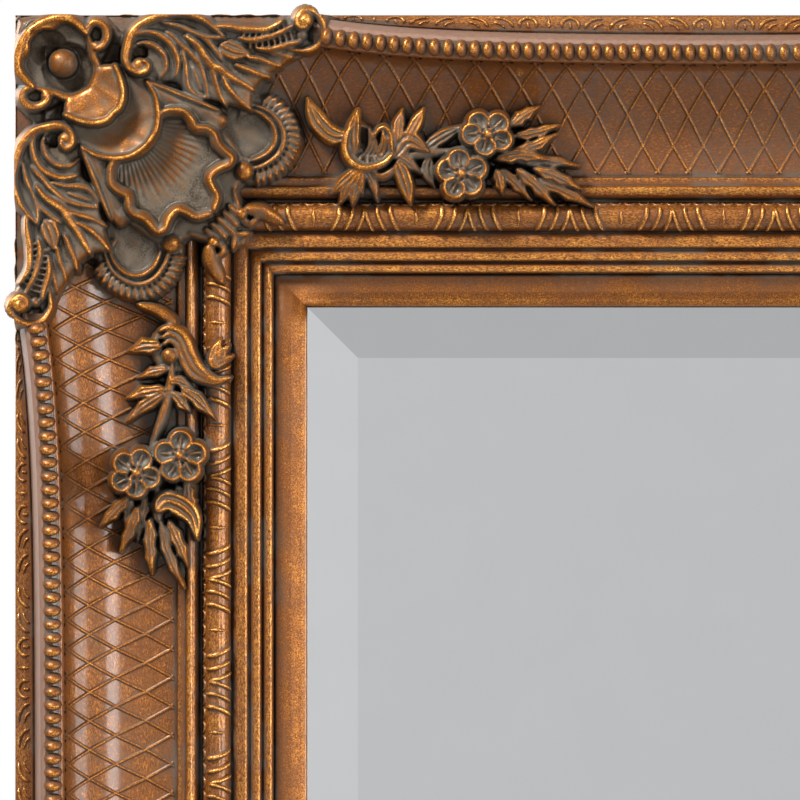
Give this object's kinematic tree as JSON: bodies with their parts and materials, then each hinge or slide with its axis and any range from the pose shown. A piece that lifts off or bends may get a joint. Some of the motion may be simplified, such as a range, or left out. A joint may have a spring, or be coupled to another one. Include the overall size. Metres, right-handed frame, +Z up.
{
  "type": "cheval floor mirror",
  "caption": "Full-length bevelled mirror in a carved, swept gilt frame with ornamented corners, standing on its lower edge and a hinged easel leg with folding stays.",
  "frame": {"origin": "floor level under the centre of the bounding box, with the leg open and the mirror standing", "axes": "+X to the viewer's right across the mirror, -Y the side that the glass faces, +Z up"},
  "size_m": [0.5624, 0.3666, 1.6173],
  "materials": {
    "gilt_moulding": "antique gold leaf over brown bole, rubbed and toned grey in the hollows",
    "gilt_casting": "cast composition ornament, antique gold, toned grey in the hollows",
    "silvered_glass": "polished silvered glass with a wide bevel",
    "fibreboard": "bare brown hardboard",
    "stained_timber": "dark stained, satin",
    "plated_steel": "zinc plated",
    "black_rubber": "matte"
  },
  "bodies": {
    "frame": {"frame_top": "gilt_moulding", "frame_bottom": "gilt_moulding", "frame_left": "gilt_moulding", "frame_right": "gilt_moulding", "slip_top": "gilt_moulding", "slip_bottom": "gilt_moulding", "slip_left": "gilt_moulding", "slip_right": "gilt_moulding", "bead_strip_top": "gilt_moulding", "bead_strip_bottom": "gilt_moulding", "bead_strip_left": "gilt_moulding", "bead_strip_right": "gilt_moulding", "corner_ornament_top_left": "gilt_casting", "corner_ornament_top_right": "gilt_casting", "corner_ornament_bottom_left": "gilt_casting", "corner_ornament_bottom_right": "gilt_casting", "flower_spray_top_left_rail": "gilt_casting", "flower_spray_top_left_stile": "gilt_casting", "flower_spray_top_right_rail": "gilt_casting", "flower_spray_top_right_stile": "gilt_casting", "flower_spray_bottom_left_rail": "gilt_casting", "flower_spray_bottom_left_stile": "gilt_casting", "flower_spray_bottom_right_rail": "gilt_casting", "flower_spray_bottom_right_stile": "gilt_casting", "mirror_glass": "silvered_glass", "backing_board": "fibreboard", "bottom_foot_left": "black_rubber", "bottom_foot_right": "black_rubber", "backing_clip_1": "plated_steel", "backing_clip_2": "plated_steel", "backing_clip_3": "plated_steel", "backing_clip_4": "plated_steel", "backing_clip_5": "plated_steel", "backing_clip_6": "plated_steel", "backing_clip_7": "plated_steel", "backing_clip_8": "plated_steel", "hinge_frame_leaf_left": "plated_steel", "hinge_frame_leaf_right": "plated_steel", "hinge_pin_left": "plated_steel", "hinge_pin_right": "plated_steel", "stay_bracket_left": "plated_steel", "stay_bracket_right": "plated_steel", "stay_bracket_rivet_left": "plated_steel", "stay_bracket_rivet_right": "plated_steel"},
    "leg": {"leg_upright_left": "stained_timber", "leg_upright_right": "stained_timber", "leg_crossbar_upper": "stained_timber", "leg_crossbar_lower": "stained_timber", "leg_tip_left": "black_rubber", "leg_tip_right": "black_rubber", "hinge_leg_leaf_left": "plated_steel", "hinge_leg_leaf_right": "plated_steel", "stay_leg_rivet_left": "plated_steel", "stay_leg_rivet_right": "plated_steel"},
    "front_stay_left": {"stay_front_link_left": "plated_steel"},
    "front_stay_right": {"stay_front_link_right": "plated_steel"},
    "rear_stay_left": {"stay_rear_link_left": "plated_steel", "stay_middle_rivet_left": "plated_steel"},
    "rear_stay_right": {"stay_rear_link_right": "plated_steel", "stay_middle_rivet_right": "plated_steel"}
  },
  "joints": [
    {"name": "leg_fold", "type": "hinge", "parent": "frame", "child": "leg", "pos_m": [0, 0.02636, 1.14621], "axis": [1, 0, 0], "range_deg": [-15, 0]},
    {"name": "front_stay_fold_left", "type": "hinge", "parent": "frame", "child": "front_stay_left", "pos_m": [0, -0.06344, 0.45195], "axis": [1, 0, 0], "range_deg": [-104.42, 0]},
    {"name": "rear_stay_fold_left", "type": "hinge", "parent": "leg", "child": "rear_stay_left", "pos_m": [0, 0.11628, 0.47214], "axis": [1, 0, 0], "range_deg": [0, 90.6]},
    {"name": "front_stay_fold_right", "type": "hinge", "parent": "frame", "child": "front_stay_right", "pos_m": [0, -0.06344, 0.45195], "axis": [1, 0, 0], "range_deg": [-104.42, 0]},
    {"name": "rear_stay_fold_right", "type": "hinge", "parent": "leg", "child": "rear_stay_right", "pos_m": [0, 0.11628, 0.47214], "axis": [1, 0, 0], "range_deg": [0, 90.6]}
  ],
  "couplings": [
    {"joint": "front_stay_fold_left", "follows": "leg_fold", "ratio": 6.9607},
    {"joint": "rear_stay_fold_left", "follows": "leg_fold", "ratio": -6.0393},
    {"joint": "front_stay_fold_right", "follows": "leg_fold", "ratio": 6.9607},
    {"joint": "rear_stay_fold_right", "follows": "leg_fold", "ratio": -6.0393}
  ]
}
